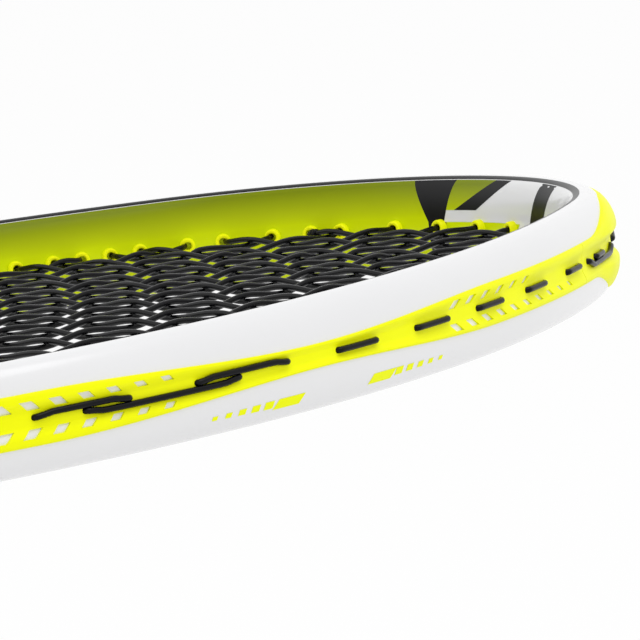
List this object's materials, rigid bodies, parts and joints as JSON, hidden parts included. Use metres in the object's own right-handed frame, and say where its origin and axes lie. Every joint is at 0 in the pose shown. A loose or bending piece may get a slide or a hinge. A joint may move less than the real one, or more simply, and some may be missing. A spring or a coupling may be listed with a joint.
{
  "type": "squash racket",
  "caption": "Squash racket with a white carbon frame, yellow grommet strips and bumper, black woven string bed and wrapped grip.",
  "frame": {"origin": "centre of the butt cap's end face, on the handle's axis and in the string plane", "axes": "+Y from the butt to the tip, +Z square to the string plane, +X to the right"},
  "size_m": [0.2156, 0.6849, 0.0322],
  "materials": {
    "frame_paint": "gloss lacquer over carbon",
    "grommet_yellow": "satin nylon",
    "string_black": "glossy coated string",
    "handle_foam": "moulded foam",
    "cap_black": "satin",
    "badge_black": "satin",
    "staple_steel": "drawn wire",
    "underlay": "adhesive tape",
    "grip_black": "matt polyurethane grip",
    "tape_black": "satin vinyl tape",
    "collar_black": "satin rubber"
  },
  "bodies": {
    "root": {"frame_hoop": "frame_paint", "throat_arm_left": "frame_paint", "throat_arm_right": "frame_paint", "throat_bridge": "frame_paint", "shaft_tube": "frame_paint", "bumper_guard": "grommet_yellow", "grommet_strip_left": "grommet_yellow", "grommet_strip_right": "grommet_yellow", "grommet_strip_throat": "grommet_yellow", "main_string": "string_black", "cross_string": "string_black", "handle_shell_upper": "handle_foam", "handle_shell_lower": "handle_foam", "butt_cap": "cap_black", "butt_badge": "badge_black", "butt_staples": "staple_steel", "grip_underlay": "underlay", "grip_wrap": "grip_black", "finishing_tape": "tape_black", "rubber_collar": "collar_black"}
  },
  "joints": []
}
